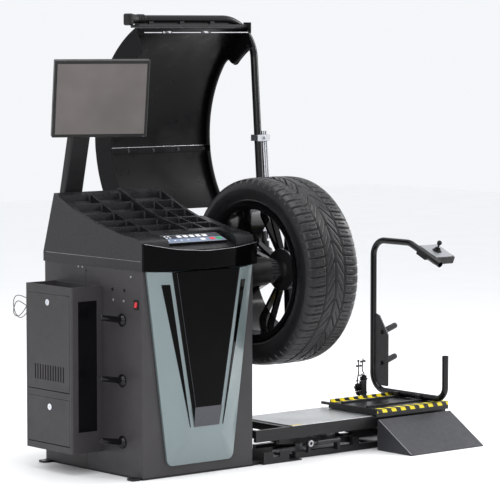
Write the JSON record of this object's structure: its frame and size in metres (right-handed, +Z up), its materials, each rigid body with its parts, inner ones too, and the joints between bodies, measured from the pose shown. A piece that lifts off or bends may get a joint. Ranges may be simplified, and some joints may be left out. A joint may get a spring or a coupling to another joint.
{
  "type": "wheel balancer",
  "caption": "Wheel balancer with weight tray, monitor, storage box, swinging wheel guard, mounted wheel and a wheel lift with ramp.",
  "frame": {"origin": "centre of the cabinet's underside, on the floor", "axes": "+X along the spindle from the cabinet to the wheel, +Y to the rear, +Z up"},
  "size_m": [1.887, 1.3488, 1.852],
  "materials": {
    "charcoal_paint": "fine textured satin powder coat",
    "black_paint": "satin black powder coat",
    "silver_cover": "satin metallic blue-grey",
    "gloss_black": "high gloss",
    "tray_plastic": "fine grain, semi matte",
    "keypad_foil": "printed foil",
    "key_red": "satin",
    "key_green": "satin",
    "switch_red": "glossy",
    "switch_black": "moulded",
    "peg_black": "moulded gloss",
    "lock_metal": "polished",
    "monitor_plastic": "moulded grain",
    "screen_glass": "semi gloss panel",
    "cast_iron": "machined and oiled",
    "steel": "turned",
    "belt_rubber": "matte",
    "motor_paint": "satin",
    "board": "laminate",
    "rim_black": "gloss black lacquer",
    "tyre_rubber": "matte tread",
    "gauge_steel": "polished rod",
    "tube_black": "gloss black powder coat",
    "hood_black": "semi gloss moulded sheet",
    "aluminium": "anodised",
    "plate_grey": "brushed sheet",
    "ramp_paint": "textured dark grey",
    "control_black": "moulded"
  },
  "bodies": {
    "machine": {"base_plate": "black_paint", "cabinet_shell": "charcoal_paint", "rear_panel": "charcoal_paint", "front_cover": "silver_cover", "front_nose": "gloss_black", "fascia_cap": "gloss_black", "weight_tray": "tray_plastic", "keypad_panel": "keypad_foil", "switch_bezel": "switch_black", "weight_pegs": "peg_black", "storage_box": "charcoal_paint", "monitor_post": "black_paint", "spindle_pedestal": "cast_iron", "spindle_housing": "black_paint", "bearings": "steel", "drive_belt": "belt_rubber", "drive_motor": "motor_paint", "electronics": "board", "guard_bracket": "black_paint", "lift_base": "black_paint", "floor_link": "black_paint", "air_cylinder": "aluminium", "ramp": "ramp_paint"},
    "stop_key": {"stop_key": "key_red"},
    "start_key": {"start_key": "key_green"},
    "switch_rocker": {"switch_rocker": "switch_red"},
    "upper_door": {"upper_door": "charcoal_paint"},
    "lower_door": {"lower_door": "charcoal_paint"},
    "upper_lock": {"upper_lock": "lock_metal"},
    "lower_lock": {"lower_lock": "lock_metal"},
    "monitor_yoke": {"monitor_yoke": "black_paint"},
    "monitor": {"monitor_housing": "monitor_plastic", "monitor_screen": "screen_glass"},
    "spindle": {"spindle_shaft": "steel", "wheel_flange": "cast_iron", "centring_cone": "steel", "wheel_rim": "rim_black", "tyre": "tyre_rubber"},
    "motor_shaft": {"motor_shaft": "steel"},
    "quick_nut": {"quick_nut": "gloss_black"},
    "gauge_rod": {"gauge_rod": "gauge_steel"},
    "gauge_arm": {"gauge_arm": "tube_black"},
    "guard": {"guard_arm": "tube_black", "guard_end_cap": "control_black", "hood_rail": "black_paint", "upper_hood": "hood_black", "lower_hood": "hood_black", "cable_rail": "aluminium"},
    "right_arms": {"right_arms": "black_paint"},
    "left_arms": {"left_arms": "black_paint"},
    "platform": {"platform_frame": "black_paint", "platform_cover": "plate_grey"},
    "cylinder_rod": {"cylinder_rod": "steel"},
    "carriage": {"carriage_deck": "black_paint", "deck_rollers": "steel", "handle_tube": "tube_black", "handle_gusset": "black_paint", "control_box": "control_black", "air_unit": "aluminium"},
    "joystick": {"joystick": "control_black"}
  },
  "joints": [
    {"name": "spindle_spin", "type": "hinge", "parent": "machine", "child": "spindle", "pos_m": [0.585, -0.17, 0.78], "axis": [1, 0, 0], "continuous": true},
    {"name": "motor_spin", "type": "hinge", "parent": "machine", "child": "motor_shaft", "pos_m": [-0.19, -0.03, 0.52], "axis": [1, 0, 0], "continuous": true},
    {"name": "nut_slide", "type": "slide", "parent": "spindle", "child": "quick_nut", "axis": [1, 0, 0], "range_m": [0, 0.095]},
    {"name": "guard_swing", "type": "hinge", "parent": "machine", "child": "guard", "pos_m": [1.011, 0.455, 0.78], "axis": [1, 0, 0], "range_deg": [0, 70]},
    {"name": "lift_raise", "type": "hinge", "parent": "machine", "child": "right_arms", "pos_m": [1.3, -0.165, 0.045], "axis": [0, 1, 0], "range_deg": [0, 31.5]},
    {"name": "left_arm_swing", "type": "hinge", "parent": "machine", "child": "left_arms", "pos_m": [0.88, -0.165, 0.045], "axis": [0, 1, 0], "range_deg": [0, 32]},
    {"name": "platform_level", "type": "hinge", "parent": "right_arms", "child": "platform", "pos_m": [0.90113, -0.165, 0.075], "axis": [0, 1, 0], "range_deg": [-32, 0]},
    {"name": "cylinder_stroke", "type": "slide", "parent": "machine", "child": "cylinder_rod", "axis": [1, 0, 0], "range_m": [0, 0.016]},
    {"name": "carriage_slide", "type": "slide", "parent": "platform", "child": "carriage", "axis": [1, 0, 0], "range_m": [-0.465, 0]},
    {"name": "joystick_tilt", "type": "hinge", "parent": "carriage", "child": "joystick", "pos_m": [1.386, -0.26398, 0.81959], "axis": [1, 0, 0], "range_deg": [-12, 12], "stiffness_Nm_per_rad": 0.3},
    {"name": "monitor_swivel", "type": "hinge", "parent": "machine", "child": "monitor_yoke", "pos_m": [-0.148, 0.16, 1.515], "axis": [0, 0, 1], "range_deg": [-20, 45]},
    {"name": "monitor_tilt", "type": "hinge", "parent": "monitor_yoke", "child": "monitor", "pos_m": [-0.14906, 0.13168, 1.51291], "axis": [0.9078, -0.4195, 0], "range_deg": [-8, 8]},
    {"name": "upper_door_hinge", "type": "hinge", "parent": "machine", "child": "upper_door", "pos_m": [-0.433, 0.09, 0.337], "axis": [0, -1, 0], "range_deg": [0, 90]},
    {"name": "lower_door_hinge", "type": "hinge", "parent": "machine", "child": "lower_door", "pos_m": [-0.433, 0.09, 0.12], "axis": [0, -1, 0], "range_deg": [0, 90]},
    {"name": "upper_lock_turn", "type": "hinge", "parent": "upper_door", "child": "upper_lock", "pos_m": [-0.439, 0.092, 0.689], "axis": [1, 0, 0], "range_deg": [0, 90]},
    {"name": "lower_lock_turn", "type": "hinge", "parent": "lower_door", "child": "lower_lock", "pos_m": [-0.439, 0.08, 0.266], "axis": [1, 0, 0], "range_deg": [0, 90]},
    {"name": "stop_key_press", "type": "slide", "parent": "machine", "child": "stop_key", "axis": [0, 0.3227, -0.9465], "range_m": [0, 0.001], "stiffness_N_per_m": 400},
    {"name": "start_key_press", "type": "slide", "parent": "machine", "child": "start_key", "axis": [0, 0.3227, -0.9465], "range_m": [0, 0.001], "stiffness_N_per_m": 400},
    {"name": "switch_rock", "type": "hinge", "parent": "machine", "child": "switch_rocker", "pos_m": [-0.283, -0.292, 0.698], "axis": [0, -1, 0], "range_deg": [0, 10]},
    {"name": "gauge_slide", "type": "slide", "parent": "machine", "child": "gauge_rod", "axis": [1, 0, 0], "range_m": [0, 0.15]},
    {"name": "gauge_swing", "type": "hinge", "parent": "gauge_rod", "child": "gauge_arm", "pos_m": [0.351, 0.01, 0.8], "axis": [-1, 0, 0], "range_deg": [0, 18]}
  ],
  "couplings": [
    {"joint": "motor_spin", "follows": "spindle_spin", "ratio": 2.5},
    {"joint": "left_arm_swing", "follows": "lift_raise", "ratio": 1},
    {"joint": "platform_level", "follows": "lift_raise", "ratio": -1},
    {"joint": "cylinder_stroke", "follows": "lift_raise", "m_per_rad": 0.02808}
  ]
}
